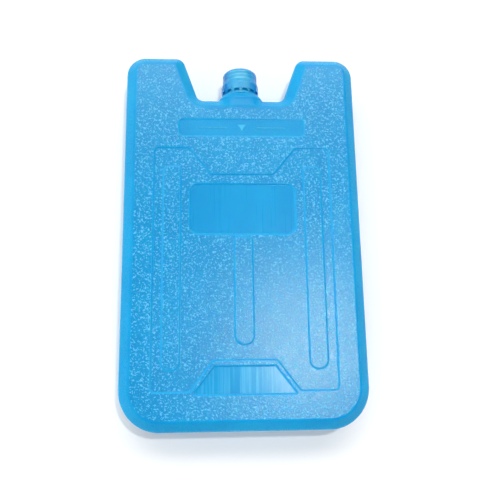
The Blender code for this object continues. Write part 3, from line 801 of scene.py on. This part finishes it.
def shoulder_cavity():
    """The hollow inside the shoulder, a wall's thickness below its form."""
    half_width = SHOULDER_WIDTH / 2 - WALL
    half_height = BODY_THICKNESS / 2 - SHOULDER_SET_BACK - WALL
    ledge_half = LEDGE_WIDTH / 2 - WALL
    return loft("shoulder_cavity", [
        squarish(half_width, half_height, NOTCH_FLOOR - SHOULDER_ROOT),
        squarish(half_width, half_height, LEDGE - SHOULDER_FLANK),
        squarish(ledge_half, ledge_half, LEDGE - WALL),
    ])


def build_bottle(materials):
    """The hollow bottle with its shoulder, neck, bead and thread."""
    bottle = moulded_body("bottle_visual", 0.0, STEP_RINGS, True, materials)
    combine(bottle, shoulder_form(), "UNION")
    neck = turned("neck_form", rounded_profile([
        (NECK_FOOT_RADIUS, LEDGE - WALL / 2, 0.0),
        (NECK_FOOT_RADIUS, BEAD_FOOT, SMALL_EDGE_RADIUS),
        (BEAD_RADIUS, BEAD_FOOT, SMALL_EDGE_RADIUS),
        (BEAD_RADIUS, BEAD_FOOT + BEAD_LAND, SMALL_EDGE_RADIUS),
        (NECK_RADIUS, BEAD_FOOT + BEAD_LAND + BEAD_RAMP, SMALL_EDGE_RADIUS),
        (NECK_RADIUS, NECK_RIM, NECK_CHAMFER),
        (NECK_BORE_RADIUS / 2, NECK_RIM, 0.0),
    ], EDGE_STEPS // 2))
    combine(bottle, neck, "UNION")
    ridge = thread("neck_thread", NECK_RADIUS, THREAD_RADIUS, NECK_THREAD_FOOT, NECK_THREAD_TURNS)
    combine(bottle, ridge, "UNION")
    combine(bottle, moulded_body("cavity_form", WALL, CAVITY_STEP_RINGS, False), "DIFFERENCE")
    combine(bottle, shoulder_cavity(), "DIFFERENCE")
    bore = turned("bore_form", [
        (NECK_BORE_RADIUS, LEDGE - SHOULDER_FLANK),
        (NECK_BORE_RADIUS, CAP_TOP),
    ])
    combine(bottle, bore, "DIFFERENCE")
    settle(bottle)
    place_piece(bottle, "bottle", "bottle_plastic", "bottle")


def build_cap(material):
    """The cap with its inner thread, its flared skirt and the bridges under it."""
    flare_foot = CAP_FOOT + SKIRT_HEIGHT
    flare_top = flare_foot + SKIRT_FLARE_HEIGHT
    inner_fillet = max(CAP_EDGE_RADIUS - CAP_WALL, SMALLEST_RADIUS)
    seat_radius = NECK_RADIUS / 2
    outside = rounded_profile([
        (SKIRT_RADIUS - SMALL_EDGE_RADIUS, CAP_FOOT + WINDOW_RISE, 0.0),
        (SKIRT_RADIUS, CAP_FOOT + WINDOW_RISE + SMALL_EDGE_RADIUS, 0.0),
        (SKIRT_RADIUS, flare_foot, SKIRT_BEND_RADIUS),
        (CAP_RADIUS, flare_top, SKIRT_BEND_RADIUS),
        (CAP_RADIUS, CAP_TOP, CAP_EDGE_RADIUS),
        (seat_radius, CAP_TOP, 0.0),
    ], ARC_STEPS)
    inside = rounded_profile([
        (seat_radius, CAP_UNDERSIDE, 0.0),
        (CAP_BORE_RADIUS, CAP_UNDERSIDE, inner_fillet),
        (CAP_BORE_RADIUS, flare_foot + SKIRT_STEP_HEIGHT, SMALL_EDGE_RADIUS),
        (SKIRT_BORE_RADIUS, flare_foot, SMALL_EDGE_RADIUS),
        (SKIRT_BORE_RADIUS, CAP_FOOT + WINDOW_RISE, 0.0),
    ], EDGE_STEPS)
    cap = turned("cap_visual", outside + inside, [material], closed_loop=True, skip=len(outside) - 1)
    ridge = thread("cap_thread", CAP_BORE_RADIUS, CAP_THREAD_RADIUS, CAP_THREAD_FOOT, CAP_THREAD_TURNS)
    combine(cap, ridge, "UNION")
    for number in range(BRIDGE_COUNT):
        combine(cap, bridge(number), "UNION")
    settle(cap)
    place_piece(cap, "cap", "cap_plastic", "screw_cap")


def bridge(number):
    """One of the tapered bridges that held the tamper ring to the skirt."""
    angle = 2 * math.pi * (number + 0.5) / BRIDGE_COUNT
    middle = (SKIRT_BORE_RADIUS + SKIRT_RADIUS) / 2
    rings = []
    top = CAP_FOOT + WINDOW_RISE + OVERLAP
    for width, height in ((BRIDGE_FOOT_WIDTH, RING_TOP + SEAT_GAP), (BRIDGE_TOP_WIDTH, top)):
        ring = []
        for across, out in ((-1, -1), (-1, 1), (1, 1), (1, -1)):
            point = Vector((middle + out * BRIDGE_THICKNESS / 2, across * width / 2))
            turned_point = Matrix.Rotation(angle, 2) @ point
            ring.append(on_axis(turned_point.x, turned_point.y, height))
        rings.append(ring)
    return loft("bridge_%02d" % (number + 1), rings)


def build_ring(material):
    """The tamper ring, whose lip lies under the neck's bead."""
    inner = SKIRT_RADIUS - RING_WALL
    ring = turned("ring_visual", rounded_profile([
        (inner, RING_FOOT, 0.0),
        (SKIRT_RADIUS, RING_FOOT, SMALL_EDGE_RADIUS),
        (SKIRT_RADIUS, RING_TOP, SMALL_EDGE_RADIUS),
        (RING_LIP_RADIUS, RING_TOP, SMALL_EDGE_RADIUS),
        (RING_LIP_RADIUS, RING_TOP - RING_LIP_HEIGHT, 0.0),
    ], EDGE_STEPS // 2), [material], closed_loop=True)
    place_piece(ring, "bottle", "cap_plastic", "tamper_ring")


# Level mark


def raised_bar(name, corners, floor, material):
    """A low raised shape with a soft top edge on the floor of the filling band."""
    rings = []
    for shift, share in MARK_PROFILE:
        ring = outline(corners, shift)
        rings.append([Vector((point.x, point.y, floor + share * MARK_RISE)) for point in ring])
    place_piece(loft(name, rings, [material]), "bottle", "bottle_plastic")


def build_level_mark(material):
    """Two dashes and a triangle on the floor of the filling band."""
    floor = BODY_THICKNESS - BAND_DEPTH
    middle = (BAND_TOP + BAND_FOOT) / 2
    half_length = (DASH_FAR_X - DASH_NEAR_X) / 2
    half_width = DASH_WIDTH / 2
    radius = half_width - SMALLEST_RADIUS / 2
    for side, name in ((-1, "level_dash_left"), (1, "level_dash_right")):
        centre = side * (DASH_NEAR_X + DASH_FAR_X) / 2
        corners = box_corners(half_length, middle - half_width, middle + half_width,
                              radius, radius, centre)
        raised_bar(name, corners, floor, material)
    top = middle + TRIANGLE_HEIGHT / 2
    corners = [
        (0.0, middle - TRIANGLE_HEIGHT / 2, SMALLEST_RADIUS, EDGE_STEPS),
        (TRIANGLE_WIDTH / 2, top, SMALLEST_RADIUS, EDGE_STEPS),
        (-TRIANGLE_WIDTH / 2, top, SMALLEST_RADIUS, EDGE_STEPS),
    ]
    raised_bar("level_triangle", corners, floor, material)


# Materials


class Nodes:
    """A new material whose nodes are added by name."""

    def __init__(self, name):
        self.material = bpy.data.materials.new(name)
        self.material.use_nodes = True
        self.tree = self.material.node_tree
        self.shader = self.tree.nodes["Principled BSDF"]

    def add(self, kind, inputs=None, **settings):
        node = self.tree.nodes.new("ShaderNode" + kind)
        for key, value in settings.items():
            setattr(node, key, value)
        for key, value in (inputs or {}).items():
            self.put(node.inputs[key], value)
        return node

    def put(self, socket, value):
        """Sets a socket to a number or colour, or links it to another node's socket."""
        if isinstance(value, bpy.types.NodeSocket):
            self.tree.links.new(value, socket)
        else:
            socket.default_value = value

    def place(self):
        """Coordinates in metres that stay with the piece."""
        return self.add("TexCoord").outputs["Object"]

    def blend(self, share, low, high):
        """A colour between low and high."""
        mix = self.add("Mix", data_type="RGBA")
        self.put(mix.inputs["Factor"], share)
        self.put(mix.inputs["A"], low)
        self.put(mix.inputs["B"], high)
        return mix.outputs["Result"]

    def sum(self, first, second):
        return self.math("ADD", first, second)

    def math(self, operation, first, second=0.0):
        node = self.add("Math", operation=operation)
        self.put(node.inputs[0], first)
        self.put(node.inputs[1], second)
        return node.outputs[0]

    def span(self, value, low, high, to_low=0.0, to_high=1.0):
        """Maps low to high smoothly onto to_low to to_high."""
        node = self.add("MapRange", interpolation_type="SMOOTHSTEP")
        for key, entry in (("Value", value), ("From Min", low), ("From Max", high),
                           ("To Min", to_low), ("To Max", to_high)):
            self.put(node.inputs[key], entry)
        return node.outputs["Result"]

    def noise(self, vector, scale, detail=NOISE_DETAIL):
        node = self.add("TexNoise", {"Vector": vector, "Scale": scale, "Detail": detail})
        return node.outputs["Fac"]

    def stretched(self, vector, factors):
        """The vector with each of its parts multiplied by its factor."""
        return self.add("VectorMath", {0: vector, 1: factors}, operation="MULTIPLY").outputs[0]

    def bump(self, height, distance):
        return self.add("Bump", {"Height": height, "Distance": distance}).outputs["Normal"]

    def finish(self, **inputs):
        """The material, once its colour, roughness and normal are set."""
        names = {"colour": "Base Color", "roughness": "Roughness", "normal": "Normal"}
        for key, value in inputs.items():
            self.put(self.shader.inputs[names[key]], value)
        return self.material


def skin_colour(nodes, place):
    """The dyed plastic's cloudy blue."""
    cloud = nodes.noise(place, CLOUD_SCALE, CLOUD_DETAIL)
    return nodes.blend(nodes.span(cloud, *CLOUD_RANGE), SKIN_DEEP, SKIN_BLUE)


def translucent(nodes, depth, gloss):
    """Lets light wander as deep as depth before it leaves again; gloss is the shine's strength."""
    nodes.shader.inputs["Specular IOR Level"].default_value = gloss
    nodes.shader.inputs["Subsurface Weight"].default_value = 1.0
    nodes.shader.inputs["Subsurface Radius"].default_value = LIGHT_SPREAD
    nodes.shader.inputs["Subsurface Scale"].default_value = depth


def satin_skin(name, gloss):
    """The smooth parts of the mould: the rim, the shoulder and the filling band's floor."""
    nodes = Nodes(name)
    translucent(nodes, SKIN_DEPTH, gloss)
    place = nodes.place()
    fine = nodes.noise(place, FINE_SCALE)
    return nodes.finish(colour=skin_colour(nodes, place), normal=nodes.bump(fine, FINE_BUMP),
                        roughness=nodes.span(fine, *FINE_RANGE, *SATIN_ROUGHNESS))


def pebbled_skin():
    """Low pebbles with deeper creases between them, darkened with painted shade, and short winding
    crests, paled with painted glints.
    """
    nodes = Nodes("pebbled_blue")
    translucent(nodes, PEBBLED_DEPTH, PEBBLED_GLOSS)
    place = nodes.place()
    wander = nodes.add("TexNoise", {"Vector": place, "Scale": WANDER_SCALE, "Detail": NOISE_DETAIL})
    reach = (WANDER_REACH, WANDER_REACH, WANDER_REACH)
    shifted = nodes.add("VectorMath", {0: wander.outputs["Color"], 1: reach, 2: place},
                        operation="MULTIPLY_ADD").outputs[0]
    cells = nodes.add("TexVoronoi", {"Vector": shifted, "Scale": PEBBLE_SCALE},
                      feature="DISTANCE_TO_EDGE")
    to_edge = cells.outputs["Distance"]
    pebble = nodes.span(to_edge, 0.0, PEBBLE_SLOPE)
    swell = nodes.noise(place, CREST_SCALE, CREST_DETAIL)
    level = nodes.math("ABSOLUTE", nodes.math("SUBTRACT", swell, NOISE_MIDDLE))
    line = nodes.span(level, *CREST_LINE, 1.0, 0.0)
    breaks = nodes.span(nodes.noise(shifted, CREST_BREAK_SCALE, CREST_DETAIL), *CREST_BREAKS)
    crest = nodes.math("MULTIPLY", line, breaks)
    height = nodes.sum(nodes.math("MULTIPLY", pebble, PEBBLE_SHARE),
                       nodes.math("MULTIPLY", crest, CREST_SHARE))
    # The creases between pebbles are darkened: painted shade.
    painted_crease_shade = nodes.span(to_edge, 0.0, CREASE_SHADE_WIDTH, CREASE_SHADE_STRENGTH, 0.0)
    colour = nodes.blend(painted_crease_shade, skin_colour(nodes, place), CREASE_PAINTED_SHADE_BLUE)
    # The crests are paled: painted glints.
    colour = nodes.blend(crest, colour, PAINTED_HIGHLIGHT_BLUE)
    return nodes.finish(colour=colour, normal=nodes.bump(height, PEBBLE_BUMP),
                        roughness=nodes.span(pebble, 0.0, 1.0, *PEBBLE_ROUGHNESS))


def relief_wall_skin():
    """Walls of the relief, in a paler blue: painted light that lifts the shade on the walls."""
    nodes = Nodes("wall_painted_light_blue")
    translucent(nodes, SKIN_DEPTH, WALL_GLOSS)
    fine = nodes.noise(nodes.place(), FINE_SCALE)
    return nodes.finish(colour=WALL_PAINTED_LIGHT_BLUE, normal=nodes.bump(fine, FINE_BUMP),
                        roughness=nodes.span(fine, *FINE_RANGE, *WALL_ROUGHNESS))


def mark_skin():
    """The level mark, polished a little by wear."""
    nodes = Nodes("mark_blue")
    fine = nodes.noise(nodes.place(), FINE_SCALE)
    return nodes.finish(colour=MARK_BLUE, roughness=nodes.span(fine, *FINE_RANGE, *WALL_ROUGHNESS))


def plain_skin():
    """The label panel: smooth, with faint upright streaks."""
    nodes = Nodes("panel_blue")
    translucent(nodes, SKIN_DEPTH, PANEL_GLOSS)
    place = nodes.place()
    streaks = nodes.noise(nodes.stretched(place, UPRIGHT), STREAK_SCALE, STREAK_DETAIL)
    return nodes.finish(colour=skin_colour(nodes, place), normal=nodes.bump(streaks, STREAK_BUMP),
                        roughness=nodes.span(streaks, *STREAK_RANGE, *PANEL_ROUGHNESS))


def brushed_skin():
    """The trapezoid: fine upright grooves from the mould's tool, with painted sheen along them."""
    nodes = Nodes("brushed_blue")
    translucent(nodes, SKIN_DEPTH, GROOVE_GLOSS)
    place = nodes.place()
    grooves = nodes.noise(nodes.stretched(place, UPRIGHT), GROOVE_SCALE, STREAK_DETAIL)
    # Pale streaks along the grooves: painted sheen.
    painted_sheen = nodes.span(grooves, *GROOVE_SHEEN_RANGE, 0.0, GROOVE_PAINTED_SHEEN)
    colour = nodes.blend(painted_sheen, skin_colour(nodes, place), PAINTED_HIGHLIGHT_BLUE)
    return nodes.finish(colour=colour, normal=nodes.bump(grooves, GROOVE_BUMP),
                        roughness=nodes.span(grooves, *STREAK_RANGE, *GROOVE_ROUGHNESS))


def cap_plastic():
    """Clearer plastic in which the inner thread shows as bands; its front and back are paler with a
    painted highlight, which the bands break up.
    """
    nodes = Nodes("cap_blue")
    translucent(nodes, CAP_DEPTH, CAP_GLOSS)
    place = nodes.place()
    parts = nodes.add("SeparateXYZ", {"Vector": place}).outputs
    angle = nodes.math("ARCTAN2", nodes.math("SUBTRACT", parts["Z"], MID_Z), parts["X"])
    along = nodes.math("DIVIDE", parts["Y"], THREAD_LEAD)
    turns = nodes.sum(along, nodes.math("DIVIDE", angle, 2 * math.pi))
    wave = nodes.math("SINE", nodes.math("MULTIPLY", turns, 2 * math.pi))
    above_skirt = nodes.span(parts["Y"], CAP_BAND_START, CAP_BAND_START + SKIRT_FLARE_HEIGHT)
    below_top = nodes.span(parts["Y"], CAP_BAND_FADE_START, CAP_BAND_END, 1.0, 0.0)
    banded = nodes.math("MULTIPLY", above_skirt, below_top)
    band = nodes.math("MULTIPLY", nodes.span(wave, *CAP_BAND_RANGE), banded)
    # Paler towards the middle of the front and back: a painted highlight, broken into bands where the
    # thread shows through.
    middle = nodes.span(nodes.math("ABSOLUTE", parts["X"]), *CAP_HIGHLIGHT_RANGE, 1.0, 0.0)
    under_top = nodes.span(below_top, 0.0, 1.0, CAP_TOP_HIGHLIGHT, 1.0)
    painted_highlight_place = nodes.math("MULTIPLY", middle, under_top)
    painted_sheen = nodes.math("MULTIPLY", painted_highlight_place, nodes.span(band, 0.0, 1.0, CAP_GAP_HIGHLIGHT, 1.0))
    nodes.shader.inputs["Transmission Weight"].default_value = CAP_CLEARNESS
    return nodes.finish(colour=nodes.blend(painted_sheen, CAP_BLUE, CAP_HIGHLIGHT_PALE), roughness=CAP_ROUGHNESS,
                        normal=nodes.bump(band, CAP_BAND_BUMP))


def foam():
    """The sealing wad's foam, with small cells."""
    nodes = Nodes("white_foam")
    cells = nodes.add("TexVoronoi", {"Vector": nodes.place(), "Scale": FOAM_SCALE})
    cell = nodes.span(cells.outputs["Distance"], 0.0, FOAM_CELL)
    return nodes.finish(colour=nodes.blend(cell, FOAM_WHITE, FOAM_SHADE), roughness=FOAM_ROUGHNESS,
                        normal=nodes.bump(cell, FOAM_BUMP))


# Studio


def facing(place, aim):
    """Turns a camera or lamp towards its aim, with the pack's length upright in its view."""
    back = (Vector(place) - Vector(aim)).normalized()
    right = Vector((0.0, 1.0, 0.0)).cross(back).normalized()
    return Matrix((right, back.cross(right), back)).transposed()


def camera():
    data = bpy.data.cameras.new("camera")
    data.lens = CAMERA_LENS
    data.sensor_width = CAMERA_SENSOR
    data.clip_start = CAMERA_NEAR
    thing = bpy.data.objects.new("camera", data)
    bpy.context.scene.collection.objects.link(thing)
    thing.location = CAMERA_PLACE
    look = facing(CAMERA_PLACE, CAMERA_AIM)
    thing.rotation_euler = (look @ Matrix.Rotation(CAMERA_ROLL, 3, "Z")).to_euler()
    bpy.context.scene.camera = thing


def area_light(name, place, aim, width, height, power, colour, gloss_alone):
    """A lamp that lights the plastic unseen or, with gloss_alone, is only seen reflected in it."""
    data = bpy.data.lights.new(name, "AREA")
    data.shape = "RECTANGLE"
    data.size = width
    data.size_y = height
    data.energy = power
    data.color = colour
    thing = bpy.data.objects.new(name, data)
    bpy.context.scene.collection.objects.link(thing)
    thing.location = place
    thing.rotation_euler = facing(place, aim).to_euler()
    if gloss_alone:
        thing.visible_diffuse = False
    else:
        thing.visible_glossy = False


def floor():
    """A pale floor that the camera sees as white, apart from the pack's shadow."""
    far = FLOOR_REACH
    corners = [(-far, -far, 0), (far, -far, 0), (far, far, 0), (-far, far, 0)]
    thing = add_object("floor", corners, [(0, 1, 2, 3)])
    nodes = Nodes("pale_floor")
    rays = nodes.add("LightPath")
    seen = nodes.math("MAXIMUM", rays.outputs["Is Camera Ray"], rays.outputs["Is Transmission Ray"])
    away = nodes.add("VectorMath", {0: nodes.place()}, operation="LENGTH").outputs["Value"]
    glow = nodes.math("MULTIPLY", seen, nodes.span(away, *FLOOR_GLOW_RANGE, *FLOOR_GLOW))
    material = nodes.finish(colour=FLOOR_COLOUR, roughness=FLOOR_ROUGHNESS)
    nodes.put(nodes.shader.inputs["Emission Color"], (*WHITE, 1.0))
    nodes.put(nodes.shader.inputs["Emission Strength"], glow)
    thing.data.materials.append(material)


class RoomNodes(Nodes):
    """The nodes of the world around the pack."""

    def __init__(self, name):
        self.world = bpy.data.worlds.new(name)
        self.world.use_nodes = True
        self.tree = self.world.node_tree
        self.tree.nodes.clear()


def world():
    """A soft room that the camera sees as white.

    It has a window high beyond the pack's neck, a bright left wall and a pale horizon.
    """
    nodes = RoomNodes("room")
    bpy.context.scene.world = nodes.world
    generated = nodes.add("TexCoord").outputs["Generated"]
    direction = nodes.add("SeparateXYZ", {"Vector": generated}).outputs
    high = nodes.span(direction["Z"], *WINDOW_ABOVE)
    ahead = nodes.span(direction["Y"], *WINDOW_AHEAD, 0.0, WINDOW_STRENGTH)
    aside = nodes.math("ABSOLUTE", direction["X"])
    window = nodes.math("MULTIPLY", nodes.math("MULTIPLY", ahead, high),
                        nodes.span(aside, *WINDOW_ASIDE, 1.0, 0.0))
    horizon = nodes.span(direction["Z"], *HORIZON_ABOVE, HORIZON_STRENGTH, 0.0)
    wall = nodes.span(direction["X"], *LEFT_WALL_ACROSS, LEFT_WALL_STRENGTH, 0.0)
    level = nodes.sum(nodes.sum(window, horizon), nodes.sum(wall, ROOM_STRENGTH))
    room = nodes.add("Background", {"Color": (*WHITE, 1.0), "Strength": level})
    white = nodes.add("Background", {"Color": (*WHITE, 1.0), "Strength": 1.0})
    choice = nodes.add("MixShader", {"Fac": nodes.add("LightPath").outputs["Is Camera Ray"]})
    nodes.put(choice.inputs[1], room.outputs[0])
    nodes.put(choice.inputs[2], white.outputs[0])
    output = nodes.add("OutputWorld")
    nodes.put(output.inputs["Surface"], choice.outputs[0])


def studio():
    """The camera, the floor, the room and its lamps."""
    camera()
    floor()
    world()
    for lamp in LAMPS:
        area_light(*lamp)
    bpy.context.scene.view_settings.view_transform = "Standard"


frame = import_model()

cap_blue = cap_plastic()
build_bottle([
    satin_skin("satin_blue", SATIN_GLOSS),
    pebbled_skin(),
    plain_skin(),
    brushed_skin(),
    relief_wall_skin(),
    satin_skin("polished_blue", POLISHED_GLOSS),
])
build_cap(cap_blue)
build_ring(cap_blue)
build_level_mark(mark_skin())
frame["nodes"]["sealing_wad"].data.materials.clear()
frame["nodes"]["sealing_wad"].data.materials.append(foam())
studio()
